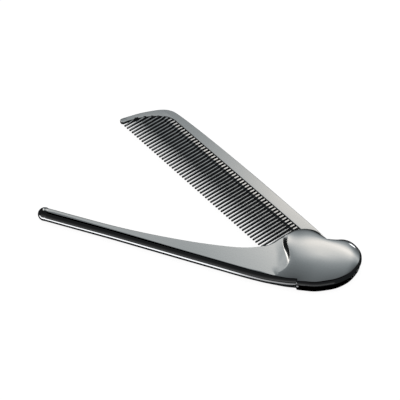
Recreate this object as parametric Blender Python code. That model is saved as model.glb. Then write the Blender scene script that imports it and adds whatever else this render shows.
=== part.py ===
"""Folding detangling comb in dark chromed metal: a handle with a puffy heart over the pivot,
a toothed blade that swings out of the handle's slot, and the pin that the blade turns on.

Origin: on the pin's axis, on the flat underside that the comb rests on.
+X runs along the handle from its ball end to the heart, +Z points up.
"""
import math

import bmesh
import bpy
from mathutils import Vector

MM = 0.001

# Handle: a bar with a round near edge, carried on into two plates with a slot between them.
HANDLE_THICKNESS = 4.6 * MM
SLOT_HEIGHT = 2.8 * MM
BAR_LIFT = 0.02 * MM
BAR_RADIUS = HANDLE_THICKNESS / 2 - BAR_LIFT
BALL_RADIUS = 2.45 * MM
BALL_X = -99.85 * MM
BAR_Y = -16.0 * MM
SLOT_START_X = -98.5 * MM
SLOT_WALL_Y = -16.15 * MM
WALL_END_TOP_X = -4.6 * MM
WALL_END_BOTTOM_X = -6.2 * MM
ROUND_STEPS = 6
BAR_STEPS = 3

# Stations along the bar, in millimetres: x, the round near edge's centre, the far edge,
# and the far edge's own radius.
BAR_STATIONS = [
    (-99.8, -16.0, -13.72, 2.28),
    (-88.0, -15.95, -13.68, 2.20),
    (-74.0, -15.9, -13.65, 1.80),
    (-60.0, -16.05, -13.0, 1.20),
    (-46.0, -16.2, -11.6, 0.70),
    (-35.0, -16.3, -9.75, 0.50),
    (-28.0, -16.4, -8.0, 0.40),
    (-22.9, -16.4, -5.6, 0.40),
    (-19.6, -16.3, -2.9, 0.40),
    (-17.2, -16.2, 0.8, 0.40),
    (-14.0, -15.9, 3.8, 0.40),
    (-9.0, -15.3, 4.0, 0.40),
    (-5.0, -14.3, 2.0, 0.40),
    (-1.0, -12.0, 0.0, 0.40),
]

# Heart: its outline in plan, in millimetres, starting at the notch.
HEART_OUTLINE = [
    (-2.3, 6.2), (-8.6, 9.1), (-14.7, 5.9), (-16.2, 0.2), (-13.6, -6.0), (-10.0, -12.4),
    (-8.2, -16.8), (-2.0, -16.9), (4.1, -14.4), (9.2, -10.2), (12.2, -4.6), (12.4, 1.6),
    (8.9, 6.6), (3.4, 8.5),
]
HEART_RESOLUTION = 4
HEART_RADIUS = HANDLE_THICKNESS / 2
LOWER_PLATE_INSET = 0.3 * MM
DOME_CENTRE = Vector((-1.6, -2.4, 0.0)) * MM
DOME_HEIGHT = 1.4 * MM
DOME_RINGS = (0.88, 0.7, 0.5, 0.25)
ROUND_CORE = Vector((9.5, 8.5, 0.0)) * MM

# The flank fades out towards the near edge.
FLANK_END_Y = -13.5 * MM
FLANK_FADE = 7.0 * MM

# The heart's edge from below, in millimetres: inset and height where it is round,
# then inset and height of the steep flank beside the bar.
HEART_EDGE = [
    (2.30, 0.00, 2.30, 0.00),
    (1.15, 0.31, 1.15, 0.31),
    (0.31, 1.15, 0.31, 1.15),
    (0.00, 2.30, 0.00, 2.30),
    (0.31, 3.45, 0.00, 3.45),
    (1.15, 4.29, 0.05, 4.55),
    (1.70, 4.52, 0.70, 5.20),
    (2.30, 4.60, 1.70, 5.75),
]

# Blade, in its own frame: origin on the pin's axis, shut into the handle at an angle of zero.
OPEN_ANGLE = math.radians(-30.16)
BLADE_THICKNESS = 2.2 * MM
BLADE_EDGE = 0.2 * MM
TIP_LINE_Y = -15.1 * MM
SPINE_INNER_Y = 0.4 * MM
EYE_RADIUS = 4.1 * MM
BORE_RADIUS = 1.8 * MM
EYE_STEPS = 10

# The spine's far end bends down to a round nose beside the first tooth.
NOSE_OUTER = [
    (-96.2, -15.1), (-97.3, -14.9), (-97.7, -13.8), (-97.0, -11.2), (-95.8, -7.2), (-94.0, -3.0),
    (-92.2, 0.2), (-89.9, 2.3), (-86.0, 3.35), (-72.0, 4.2), (-48.0, 4.8), (-25.0, 4.85),
    (-12.0, 4.8), (-5.0, 4.4),
]
NOSE_INNER = [
    (-82.0, 0.4), (-85.6, 0.25), (-88.2, -0.9), (-90.6, -3.2), (-92.6, -6.2), (-94.2, -9.6),
    (-95.2, -13.0), (-95.5, -14.6),
]

# Teeth: straight bars that taper from the spine to their tips.
TOOTH_PITCH = 1.45 * MM
TOOTH_COUNT = 58
FIRST_TOOTH_X = -94.91 * MM
TOOTH_BED = 0.5 * MM
TIP_LENGTH = 0.9 * MM
TOOTH_WIDTH = 0.52 * MM
TOOTH_THICKNESS_AT_SPINE = 1.9 * MM
TIP_WIDTH = 0.4 * MM
TIP_THICKNESS = 0.34 * MM
POINT_WIDTH = 0.2 * MM
POINT_THICKNESS = 0.18 * MM
TOOTH_FLAT = 0.5

# Pin: turns in nothing, the blade turns on it.
PIN_RADIUS = 1.5 * MM
PIN_CLEARANCE = 0.3 * MM
PIN_BOTTOM_Z = 0.75 * MM
PIN_TOP_Z = 4.5 * MM
PIN_SIDES = 32


def material(name, colour, roughness):
    """A metal finish: every piece is polished or satin metal."""
    finish = bpy.data.materials.new(name)
    finish.use_nodes = True
    shader = finish.node_tree.nodes["Principled BSDF"]
    shader.inputs["Base Color"].default_value = (*colour, 1.0)
    shader.inputs["Metallic"].default_value = 1.0
    shader.inputs["Roughness"].default_value = roughness
    finish.diffuse_color = (*colour, 1.0)
    return finish


def collection(name):
    """A new collection, linked to the scene."""
    group = bpy.data.collections.new(name)
    bpy.context.scene.collection.children.link(group)
    return group


def add_object(name, mesh, group, finish=None):
    """A mesh as an object in a collection, with its finish."""
    thing = bpy.data.objects.new(name, mesh)
    group.objects.link(thing)
    if finish:
        mesh.materials.clear()
        mesh.materials.append(finish)
    return thing


def as_cutter(thing):
    """Marks a shape that is only joined to a piece or cut from it."""
    thing.hide_render = True
    thing.display_type = "WIRE"
    return thing


def curve_mesh(name, curve):
    """A curve as one welded mesh."""
    guide = bpy.data.objects.new(name, curve)
    bpy.context.scene.collection.objects.link(guide)
    evaluated = guide.evaluated_get(bpy.context.evaluated_depsgraph_get())
    mesh = bpy.data.meshes.new_from_object(evaluated)
    bpy.data.objects.remove(guide)
    work = bmesh.new()
    work.from_mesh(mesh)
    bmesh.ops.remove_doubles(work, verts=work.verts, dist=0.01 * MM)
    bmesh.ops.recalc_face_normals(work, faces=work.faces)
    work.to_mesh(mesh)
    work.free()
    return mesh


def flat_curve(name, height):
    """An empty 2D curve that fills to a slab of the given height."""
    curve = bpy.data.curves.new(name, "CURVE")
    curve.dimensions = "2D"
    curve.fill_mode = "BOTH"
    curve.extrude = height / 2
    return curve


def straight_outline(curve, points):
    """Adds a closed outline with straight sides."""
    spline = curve.splines.new("POLY")
    spline.points.add(len(points) - 1)
    for point, (x, y) in zip(spline.points, points):
        point.co = (x, y, 0.0, 1.0)
    spline.use_cyclic_u = True


def loft(name, rings, point=None):
    """A closed body through rings of equally many points, ending in a flat cap or in a point."""
    work = bmesh.new()
    loops = [[work.verts.new(co) for co in ring] for ring in rings]
    for low, high in zip(loops, loops[1:]):
        for i in range(len(low)):
            j = (i + 1) % len(low)
            work.faces.new((low[i], low[j], high[j], high[i]))
    work.faces.new(reversed(loops[0]))
    if point is None:
        work.faces.new(loops[-1])
    else:
        top = work.verts.new(point)
        for i in range(len(loops[-1])):
            j = (i + 1) % len(loops[-1])
            work.faces.new((loops[-1][i], loops[-1][j], top))
    bmesh.ops.recalc_face_normals(work, faces=work.faces)
    mesh = bpy.data.meshes.new(name)
    work.to_mesh(mesh)
    work.free()
    return mesh


def smooth(mesh, degrees=30):
    """Smooth shading that keeps the edges sharper than an angle."""
    mesh.shade_smooth()
    mesh.set_sharp_from_angle(angle=math.radians(degrees))


def boolean(thing, operation, other):
    """Joins another shape to a piece, or cuts it from the piece."""
    step = thing.modifiers.new(other.name, "BOOLEAN")
    step.operation = operation
    step.solver = "EXACT"
    step.object = other


def arc(centre, radius, start, end, steps):
    """Points along an arc, both ends included, with angles in degrees."""
    points = []
    for i in range(steps + 1):
        angle = math.radians(start + (end - start) * i / steps)
        points.append((centre[0] + radius * math.cos(angle), centre[1] + radius * math.sin(angle)))
    return points


def between(rows, steps):
    """Rows of a table with smooth rows added between them (Catmull-Rom)."""
    result = []
    for i in range(len(rows) - 1):
        before = rows[max(i - 1, 0)]
        after = rows[min(i + 2, len(rows) - 1)]
        for k in range(steps):
            t = k / steps
            result.append(tuple(
                0.5 * (2 * b + (c - a) * t + (2 * a - 5 * b + 4 * c - d) * t * t
                       + (3 * b - a - 3 * c + d) * t ** 3)
                for a, b, c, d in zip(before, rows[i], rows[i + 1], after)))
    result.append(rows[-1])
    return result


def bar_mesh():
    """The bar and plates as one lofted body, before the slot is cut."""
    rings = []
    for x, near, far, radius in between(BAR_STATIONS, BAR_STEPS):
        near = near * MM
        far = far * MM
        radius = radius * MM
        far_centre = far - radius
        high = 2 * BAR_RADIUS - radius
        outline = arc((near, BAR_RADIUS), BAR_RADIUS, 270, 90, 2 * ROUND_STEPS)
        outline += arc((far_centre, high), radius, 90, 0, ROUND_STEPS // 2)
        outline += arc((far_centre, radius), radius, 0, -90, ROUND_STEPS // 2)
        rings.append([(x * MM, y, z + BAR_LIFT) for y, z in outline])
    return loft("bar", rings)


def heart_outline():
    """The heart's outline as points with their outward directions, sharp at the notch."""
    curve = bpy.data.curves.new("heart_line", "CURVE")
    curve.dimensions = "2D"
    curve.fill_mode = "NONE"
    curve.resolution_u = HEART_RESOLUTION
    spline = curve.splines.new("BEZIER")
    spline.bezier_points.add(len(HEART_OUTLINE) - 1)
    for point, (x, y) in zip(spline.bezier_points, HEART_OUTLINE):
        point.co = (x * MM, y * MM, 0.0)
        point.handle_left_type = "AUTO"
        point.handle_right_type = "AUTO"
    notch = spline.bezier_points[0]
    notch.handle_left_type = "VECTOR"
    notch.handle_right_type = "VECTOR"
    spline.use_cyclic_u = True
    guide = bpy.data.objects.new("heart_line", curve)
    bpy.context.scene.collection.objects.link(guide)
    evaluated = guide.evaluated_get(bpy.context.evaluated_depsgraph_get())
    mesh = bpy.data.meshes.new_from_object(evaluated)
    bpy.data.objects.remove(guide)
    points = [vertex.co.copy() for vertex in mesh.vertices]
    outline = []
    for i, point in enumerate(points):
        along = points[(i + 1) % len(points)] - points[i - 1]
        outward = Vector((-along.y, along.x, 0.0)).normalized()
        if outward.dot(point - DOME_CENTRE) < 0:
            outward = -outward
        outline.append((point, outward))
    return outline


def heart_mesh():
    """The heart in one loft: flat below, a round edge, a steep flank beside the bar, a low dome."""
    outline = heart_outline()
    rings = []
    for inset, height, flank_inset, flank_height in HEART_EDGE:
        ring = []
        below = LOWER_PLATE_INSET if height * MM < HEART_RADIUS else 0.0
        for point, outward in outline:
            facing = max(0.0, min(1.0, -1.8 * outward.x - 0.5))
            fade = max(0.0, min(1.0, (point.y - FLANK_END_Y) / FLANK_FADE))
            flank = facing * fade
            back = (inset * (1 - flank) + flank_inset * flank) * MM
            level = (height * (1 - flank) + flank_height * flank) * MM
            back += below * max(0.0, outward.x) ** 4
            ring.append(Vector((point.x, point.y, level)) - outward * back)
        rings.append(ring)
    crown = HANDLE_THICKNESS + DOME_HEIGHT
    for size in DOME_RINGS:
        ring = []
        blend = (1 - size) ** 1.5
        for edge in rings[len(HEART_EDGE) - 1]:
            arm = Vector((edge.x, edge.y, 0.0)) - DOME_CENTRE
            turn = math.atan2(arm.y, arm.x)
            core = Vector((ROUND_CORE.x * math.cos(turn), ROUND_CORE.y * math.sin(turn), 0.0))
            place = DOME_CENTRE + (arm * (1 - blend) + core * blend) * size
            ring.append((place.x, place.y, crown - (crown - edge.z) * size ** 2))
        rings.append(ring)
    return loft("heart", rings, (DOME_CENTRE.x, DOME_CENTRE.y, crown))


def slot_mesh():
    """The slot that the blade shuts into: open to the far side and round the heart."""
    reach = 40 * MM
    curve = flat_curve("slot", SLOT_HEIGHT)
    straight_outline(curve, [
        (SLOT_START_X, SLOT_WALL_Y), (reach, SLOT_WALL_Y), (reach, reach), (SLOT_START_X, reach)])
    mesh = curve_mesh("slot", curve)
    for vertex in mesh.vertices:
        vertex.co.z += HANDLE_THICKNESS / 2
    return mesh


def slot_mouth_mesh():
    """The slot's opening round the heart's near side, where the wall ends in a slant."""
    reach = 40 * MM
    low = (HANDLE_THICKNESS - SLOT_HEIGHT) / 2
    high = low + SLOT_HEIGHT
    outline = [(WALL_END_BOTTOM_X, low), (reach, low), (reach, high), (WALL_END_TOP_X, high)]
    rings = [[(x, y, z) for x, z in outline] for y in (-reach, SLOT_WALL_Y + BORE_RADIUS)]
    return loft("slot_mouth", rings)


def cylinder_mesh(name, radius, low, high, sides=PIN_SIDES):
    """An upright cylinder on the pin's axis."""
    work = bmesh.new()
    bmesh.ops.create_cone(work, cap_ends=True, segments=sides, radius1=radius, radius2=radius,
                          depth=high - low)
    bmesh.ops.translate(work, verts=work.verts, vec=(0.0, 0.0, (low + high) / 2))
    mesh = bpy.data.meshes.new(name)
    work.to_mesh(mesh)
    work.free()
    return mesh


def ball_mesh():
    """The ball that ends the bar."""
    work = bmesh.new()
    bmesh.ops.create_uvsphere(work, u_segments=24, v_segments=12, radius=BALL_RADIUS)
    bmesh.ops.translate(work, verts=work.verts, vec=(BALL_X, BAR_Y, BALL_RADIUS))
    mesh = bpy.data.meshes.new("ball")
    work.to_mesh(mesh)
    work.free()
    return mesh


def build_handle(parts, cutters, finish):
    """The handle: bar, plates, heart and ball are one piece."""
    mesh = bar_mesh()
    handle = add_object("handle", mesh, parts, finish)
    smooth(mesh)
    for name, shape in (("ball", ball_mesh()), ("heart", heart_mesh())):
        smooth(shape)
        boolean(handle, "UNION", as_cutter(add_object(name, shape, cutters, finish)))
    pin_hole = cylinder_mesh("pin_hole", PIN_RADIUS + PIN_CLEARANCE, PIN_BOTTOM_Z - PIN_CLEARANCE,
                             PIN_TOP_Z + PIN_CLEARANCE)
    for name, shape in (("slot", slot_mesh()), ("slot_mouth", slot_mouth_mesh()),
                        ("pin_hole", pin_hole)):
        boolean(handle, "DIFFERENCE", as_cutter(add_object(name, shape, cutters, finish)))
    return handle


def spine_mesh():
    """The blade's spine, with the nose at its far end and the eye round the pin."""
    curve = flat_curve("spine", BLADE_THICKNESS - 2 * BLADE_EDGE)
    curve.bevel_depth = BLADE_EDGE
    curve.offset = -BLADE_EDGE
    curve.bevel_resolution = 0
    eye_end = math.degrees(math.asin(SPINE_INNER_Y / EYE_RADIUS))
    outline = [(x * MM, y * MM) for x, y in between(NOSE_OUTER, 3)]
    outline += arc((0.0, 0.0), EYE_RADIUS, 85, -180 - eye_end, 2 * EYE_STEPS)
    outline += [(x * MM, y * MM) for x, y in between(NOSE_INNER, 3)]
    straight_outline(curve, outline)
    return curve_mesh("spine", curve)


def tooth_ring(y, x, width, thickness):
    """One section of a tooth: a flat-sided bar with its corners taken off."""
    flat_x = width / 2 * TOOTH_FLAT
    side_z = thickness / 2 - (width / 2 - flat_x)
    side_z = max(side_z, thickness / 2 * TOOTH_FLAT)
    half_x = width / 2
    half_z = thickness / 2
    corners = [(half_x, -side_z), (half_x, side_z), (flat_x, half_z), (-flat_x, half_z),
               (-half_x, side_z), (-half_x, -side_z), (-flat_x, -half_z), (flat_x, -half_z)]
    return [(x + cx, y, cz) for cx, cz in corners]


def spine_inner_height(x):
    """How far up the inner side of the spine lies at a place along the blade."""
    edge = between(NOSE_INNER, 8)
    for (x1, y1), (x2, y2) in zip(edge, edge[1:]):
        if x2 * MM <= x <= x1 * MM:
            return (y2 + (y1 - y2) * (x / MM - x2) / (x1 - x2)) * MM
    return SPINE_INNER_Y


def teeth_mesh():
    """All the teeth, each sunk into the spine."""
    work = bmesh.new()
    for number in range(TOOTH_COUNT):
        x = FIRST_TOOTH_X + number * TOOTH_PITCH
        root = spine_inner_height(x)
        share = (root - TIP_LINE_Y) / (SPINE_INNER_Y - TIP_LINE_Y)
        thickness = TIP_THICKNESS + (TOOTH_THICKNESS_AT_SPINE - TIP_THICKNESS) * share
        rings = [
            tooth_ring(TIP_LINE_Y, x, POINT_WIDTH, POINT_THICKNESS),
            tooth_ring(TIP_LINE_Y + TIP_LENGTH, x, TIP_WIDTH, TIP_THICKNESS),
            tooth_ring(root + TOOTH_BED, x, TOOTH_WIDTH, thickness),
        ]
        tooth = loft("tooth", rings)
        work.from_mesh(tooth)
        bpy.data.meshes.remove(tooth)
    mesh = bpy.data.meshes.new("teeth")
    work.to_mesh(mesh)
    work.free()
    return mesh


def build_blade(parts, cutters, finish):
    """The blade: spine and teeth are one piece, drilled for the pin."""
    mesh = spine_mesh()
    blade = add_object("comb_blade", mesh, parts, finish)
    boolean(blade, "UNION", as_cutter(add_object("teeth", teeth_mesh(), cutters, finish)))
    bore = cylinder_mesh("bore", BORE_RADIUS, -BLADE_THICKNESS, BLADE_THICKNESS)
    boolean(blade, "DIFFERENCE", as_cutter(add_object("bore", bore, cutters, finish)))
    blade.location = (0.0, 0.0, HANDLE_THICKNESS / 2)
    blade.rotation_euler = (0.0, 0.0, OPEN_ANGLE)
    for helper in (cutters.objects["teeth"], cutters.objects["bore"]):
        helper.location = blade.location
        helper.rotation_euler = blade.rotation_euler
    return blade


def build_pin(parts, finish):
    """The pin, let into both plates of the handle."""
    mesh = cylinder_mesh("pivot_pin", PIN_RADIUS, PIN_BOTTOM_Z, PIN_TOP_Z)
    smooth(mesh)
    return add_object("pivot_pin", mesh, parts, finish)


for leftover in list(bpy.data.objects):
    bpy.data.objects.remove(leftover)

comb_parts = collection("folding_comb")
comb_cutters = collection("cutters")
dark_chrome = material("dark_chrome", (0.42, 0.43, 0.44), 0.12)
blade_chrome = material("blade_chrome", (0.40, 0.41, 0.42), 0.16)
pin_steel = material("pin_steel", (0.55, 0.55, 0.56), 0.25)

build_handle(comb_parts, comb_cutters, dark_chrome)
build_blade(comb_parts, comb_cutters, blade_chrome)
build_pin(comb_parts, pin_steel)
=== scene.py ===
"""A folding detangling comb in dark chromed metal, partly open on a pale table."""

import math

import bmesh
import bpy
import numpy as np
from mathutils import Matrix, Vector


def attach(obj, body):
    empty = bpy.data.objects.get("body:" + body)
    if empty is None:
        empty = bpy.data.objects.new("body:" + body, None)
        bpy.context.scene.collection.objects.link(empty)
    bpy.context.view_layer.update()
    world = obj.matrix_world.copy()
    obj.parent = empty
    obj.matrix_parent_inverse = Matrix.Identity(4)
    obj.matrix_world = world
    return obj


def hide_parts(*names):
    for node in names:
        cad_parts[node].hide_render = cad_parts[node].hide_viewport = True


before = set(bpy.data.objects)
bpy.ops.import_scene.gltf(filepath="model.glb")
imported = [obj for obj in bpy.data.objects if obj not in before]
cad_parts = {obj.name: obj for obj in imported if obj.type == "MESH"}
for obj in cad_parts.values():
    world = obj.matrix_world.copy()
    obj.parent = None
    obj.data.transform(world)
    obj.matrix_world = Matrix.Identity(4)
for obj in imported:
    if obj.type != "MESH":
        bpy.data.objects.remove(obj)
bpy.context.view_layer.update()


# Camera
# A long lens looks down at the comb from the front right, at just over half a right angle. It
# stands about 0.8 m away, so the comb shows with little perspective.
MM = 0.001
CAMERA_RISE = math.radians(46.98)
CAMERA_TURN = math.radians(20.4)
CAMERA_DISTANCE = 815 * MM
CAMERA_TARGET = Vector((-50.9, 9.6, 2.3)) * MM
PIXELS_PER_SLOPE = 2295.0
PICTURE_WIDTH = 400.0
SENSOR_WIDTH = 36.0
NEAREST_SHOWN = 0.01

to_camera = Vector((
    math.sin(CAMERA_TURN) * math.cos(CAMERA_RISE),
    -math.cos(CAMERA_TURN) * math.cos(CAMERA_RISE),
    math.sin(CAMERA_RISE),
))
lens = bpy.data.cameras.new("camera")
lens.sensor_width = SENSOR_WIDTH
lens.lens = lens.sensor_width * PIXELS_PER_SLOPE / PICTURE_WIDTH
lens.clip_start = NEAREST_SHOWN
camera = bpy.data.objects.new("camera", lens)
bpy.context.scene.collection.objects.link(camera)
camera.location = CAMERA_TARGET + to_camera * CAMERA_DISTANCE
camera.rotation_euler = (-to_camera).to_track_quat("-Z", "Y").to_euler()
bpy.context.scene.camera = camera
bpy.context.scene.view_settings.view_transform = "Standard"


# Floor and studio
# A plain pale table in even light. The metal sees a dark room with one large soft panel and a
# small softbox behind the comb, a dim card in front of it and a pale strip on the table.
FLOOR_SIZE = 6.0
FLOOR_DROP = 0.05 * MM
FLOOR_GLOW = 0.90
FLOOR_COLOUR = (0.16, 0.16, 0.16)
FLOOR_ROUGHNESS = 0.9
WHITE = (1.0, 1.0, 1.0, 1.0)
ROOM_LIGHT = 0.95
DARK_ROOM = 0.022
DARK_ROOM_COLOUR = (0.9, 0.96, 1.0, 1.0)


def stage_plane(name, centre, right, up, width, height):
    """A flat card of the studio, not part of the comb."""
    mesh = bpy.data.meshes.new(name)
    half_x, half_y = width / 2, height / 2
    corners = [(-half_x, -half_y, 0), (half_x, -half_y, 0), (half_x, half_y, 0), (-half_x, half_y, 0)]
    mesh.from_pydata(corners, [], [(0, 1, 2, 3)])
    card = bpy.data.objects.new(name, mesh)
    bpy.context.scene.collection.objects.link(card)
    right = Vector(right).normalized()
    up = (Vector(up) - right * right.dot(Vector(up))).normalized()
    normal = right.cross(up)
    card.matrix_world = Matrix.Translation(centre) @ Matrix((right, up, normal)).transposed().to_4x4()
    return card


def only_reflected(card):
    """A studio card that only shows in the metal."""
    card.visible_camera = False
    card.visible_diffuse = False
    card.visible_shadow = False
    card.visible_transmission = False
    card.visible_volume_scatter = False


def glow(name, strength=1.0):
    """A plain white glowing surface and the node that makes it glow."""
    finish = bpy.data.materials.new(name)
    finish.use_nodes = True
    nodes = finish.node_tree.nodes
    nodes.clear()
    emit = nodes.new("ShaderNodeEmission")
    emit.inputs["Color"].default_value = WHITE
    emit.inputs["Strength"].default_value = strength
    out = nodes.new("ShaderNodeOutputMaterial")
    finish.node_tree.links.new(emit.outputs["Emission"], out.inputs["Surface"])
    return finish, emit


floor = stage_plane("floor", (0.0, 0.0, -FLOOR_DROP), (1, 0, 0), (0, 1, 0), FLOOR_SIZE, FLOOR_SIZE)
floor.visible_glossy = False
floor_finish = bpy.data.materials.new("pale_table")
floor_finish.use_nodes = True
floor_shader = floor_finish.node_tree.nodes["Principled BSDF"]
floor_shader.inputs["Base Color"].default_value = (*FLOOR_COLOUR, 1.0)
floor_shader.inputs["Roughness"].default_value = FLOOR_ROUGHNESS
floor_shader.inputs["Specular IOR Level"].default_value = 0.0
floor_shader.inputs["Emission Color"].default_value = WHITE
floor_shader.inputs["Emission Strength"].default_value = FLOOR_GLOW
floor.data.materials.append(floor_finish)

world = bpy.data.worlds.new("studio")
bpy.context.scene.world = world
world.use_nodes = True
sky = world.node_tree
sky.nodes.clear()
light_path = sky.nodes.new("ShaderNodeLightPath")
even = sky.nodes.new("ShaderNodeBackground")
even.inputs["Color"].default_value = WHITE
even.inputs["Strength"].default_value = ROOM_LIGHT
dark = sky.nodes.new("ShaderNodeBackground")
dark.inputs["Color"].default_value = DARK_ROOM_COLOUR
dark.inputs["Strength"].default_value = DARK_ROOM
choice = sky.nodes.new("ShaderNodeMixShader")
sky_out = sky.nodes.new("ShaderNodeOutputWorld")
sky.links.new(light_path.outputs["Is Glossy Ray"], choice.inputs["Fac"])
sky.links.new(even.outputs["Background"], choice.inputs[1])
sky.links.new(dark.outputs["Background"], choice.inputs[2])
sky.links.new(choice.outputs["Shader"], sky_out.inputs["Surface"])

# The large panel stands where the level faces of the metal look to. It is brightest along its
# middle, nearly black at its top and foot, and dimmer at its left but for one bright band. Its
# dim parts are cooler than its bright ones.
away = Vector((-to_camera.x, -to_camera.y, to_camera.z))
panel_right = Vector((math.cos(CAMERA_TURN), math.sin(CAMERA_TURN), 0.0))
panel_up = panel_right.cross(away)
PANEL_DISTANCE = 350 * MM
PANEL_WIDTH = 760 * MM
PANEL_HEIGHT = 900 * MM
PANEL_COOL = (0.90, 0.98, 1.0, 1.0)
PANEL_WARM = (1.05, 1.0, 0.93, 1.0)
WARMTH_START = 0.35
WARMTH_END = 1.45
PANEL_ACROSS = [
    (-0.380, 0.05), (-0.200, 0.10), (-0.183, 1.90), (-0.150, 1.90), (-0.120, 0.95), (-0.090, 0.66),
    (-0.071, 0.53), (-0.050, 0.52), (-0.030, 0.54), (-0.010, 0.56), (0.015, 0.71), (0.030, 0.83),
    (0.050, 1.0), (0.100, 1.08), (0.160, 1.10), (0.200, 0.86), (0.250, 0.60), (0.380, 0.42),
]
PANEL_RISE = [
    (-0.450, 0.04), (-0.300, 0.18), (-0.170, 0.42), (-0.100, 0.58), (-0.075, 0.70), (-0.040, 1.07),
    (-0.020, 1.27), (0.0, 1.50), (0.020, 1.26), (0.040, 1.02), (0.060, 0.74), (0.080, 0.53),
    (0.100, 0.43), (0.145, 0.30), (0.190, 0.22), (0.225, 0.18), (0.240, 0.03), (0.450, 0.03),
]


def math_node(tree, operation, first, second=None, third=None):
    """A Math node with its inputs joined or set."""
    node = tree.nodes.new("ShaderNodeMath")
    node.operation = operation
    for i, value in enumerate((first, second, third)):
        if value is None:
            continue
        if isinstance(value, (int, float)):
            node.inputs[i].default_value = value
        else:
            tree.links.new(value, node.inputs[i])
    return node.outputs["Value"]


def ramp(tree, source, low, high, stops):
    """A smooth table of brightness along one axis of a card."""
    spread = tree.nodes.new("ShaderNodeMapRange")
    spread.inputs["From Min"].default_value = low
    spread.inputs["From Max"].default_value = high
    tree.links.new(source, spread.inputs["Value"])
    table = tree.nodes.new("ShaderNodeFloatCurve")
    top = max(value for place, value in stops)
    points = table.mapping.curves[0].points
    while len(points) < len(stops):
        points.new(0.5, 0.5)
    for point, (place, value) in zip(points, stops):
        point.location = ((place - low) / (high - low), value / top)
    table.mapping.update()
    tree.links.new(spread.outputs["Result"], table.inputs["Value"])
    return math_node(tree, "MULTIPLY", table.outputs["Value"], top)


def graded_glow(card, name, *gradings):
    """Makes a card glow by tables of brightness, each with its axis and the card's size there."""
    finish, emit = glow(name)
    card.data.materials.append(finish)
    tree = finish.node_tree
    place = tree.nodes.new("ShaderNodeTexCoord")
    axes = tree.nodes.new("ShaderNodeSeparateXYZ")
    tree.links.new(place.outputs["Object"], axes.inputs["Vector"])
    level = None
    for axis, size, stops in gradings:
        part = ramp(tree, axes.outputs[axis], -size / 2, size / 2, stops)
        level = part if level is None else math_node(tree, "MULTIPLY", level, part)
    tree.links.new(level, emit.inputs["Strength"])
    only_reflected(card)
    return tree, emit, level


panel = stage_plane("back_panel", CAMERA_TARGET + away * PANEL_DISTANCE, panel_right, panel_up,
                    PANEL_WIDTH, PANEL_HEIGHT)
panel_tree, panel_glow, panel_level = graded_glow(
    panel, "panel_light", ("X", PANEL_WIDTH, PANEL_ACROSS), ("Y", PANEL_HEIGHT, PANEL_RISE))
panel_warmth = panel_tree.nodes.new("ShaderNodeMapRange")
panel_warmth.inputs["From Min"].default_value = WARMTH_START
panel_warmth.inputs["From Max"].default_value = WARMTH_END
panel_tree.links.new(panel_level, panel_warmth.inputs["Value"])
panel_tint = panel_tree.nodes.new("ShaderNodeMix")
panel_tint.data_type = "RGBA"
panel_tint.inputs["A"].default_value = PANEL_COOL
panel_tint.inputs["B"].default_value = PANEL_WARM
panel_tree.links.new(panel_warmth.outputs["Result"], panel_tint.inputs["Factor"])
panel_tree.links.new(panel_tint.outputs["Result"], panel_glow.inputs["Color"])

# The small softbox stands far behind the comb.
BOX_PLACE = Vector((30.0, 385.0, 95.0)) * MM
BOX_WIDTH = 46 * MM
BOX_HEIGHT = 40 * MM
BOX_GLOW = 3.5
back_box = stage_plane("back_box", BOX_PLACE, (1, 0, 0), (0, 0, 1), BOX_WIDTH, BOX_HEIGHT)
back_box.data.materials.append(glow("back_box_light", BOX_GLOW)[0])
only_reflected(back_box)

# The dim card stands low in front and shows in the walls and in the sides of the teeth.
CARD_PLACE = Vector((0.0, -350.0, 150.0)) * MM
CARD_WIDTH = 900 * MM
CARD_HEIGHT = 300 * MM
CARD_RISE = [(-0.150, 0.20), (-0.110, 0.12), (-0.050, 0.07), (0.050, 0.04), (0.150, 0.03)]
front_card = stage_plane("front_card", CARD_PLACE, (1, 0, 0), (0, 0, 1), CARD_WIDTH, CARD_HEIGHT)
graded_glow(front_card, "front_card_light", ("Y", CARD_HEIGHT, CARD_RISE))

# The strip on the table is brightest at its edge by the comb and fades outwards and to its right.
STRIP_PLACE = Vector((-58.25, -41.0, 0.1)) * MM
STRIP_RUN = (1, -0.004, 0)
STRIP_WIDTH = 107.5 * MM
STRIP_DEPTH = 40 * MM
STRIP_ACROSS = [
    (-0.0538, 1.0), (0.0208, 1.0), (0.0288, 0.85), (0.0338, 0.55), (0.0408, 0.38), (0.0538, 0.25),
]
STRIP_OUTWARDS = [
    (-0.020, 0.04), (-0.005, 0.06), (0.006, 0.10), (0.011, 0.20), (0.0138, 0.45), (0.0152, 2.1),
    (0.020, 2.1),
]
strip = stage_plane("table_strip", STRIP_PLACE, STRIP_RUN, (0, 1, 0), STRIP_WIDTH, STRIP_DEPTH)
graded_glow(strip, "table_strip_light", ("X", STRIP_WIDTH, STRIP_ACROSS), ("Y", STRIP_DEPTH, STRIP_OUTWARDS))


# Handle
# Bar, plates and heart are one casting in zinc alloy, ground, polished and dark chromed.
# The bar's round near edge runs on round the heart. The heart's low dome stands above the
# plate, with a steep flank and a hollow before it that both fade out at the near edge.
MIDDLE_HEIGHT = 2.3
PLATE_TOP = 4.58
SLOT_LOW = 0.9
SLOT_HIGH = 3.7
SLOT_START_X = -98.5
SLOT_WALL_Y = -16.15
WALL_END_TOP_X = -4.6
WALL_END_BOTTOM_X = -6.2
BALL_RADIUS = 2.45 * MM
BALL_PLACE = Vector((-99.85, -16.0, 2.45)) * MM
BAR_END_X = -24.0

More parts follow.
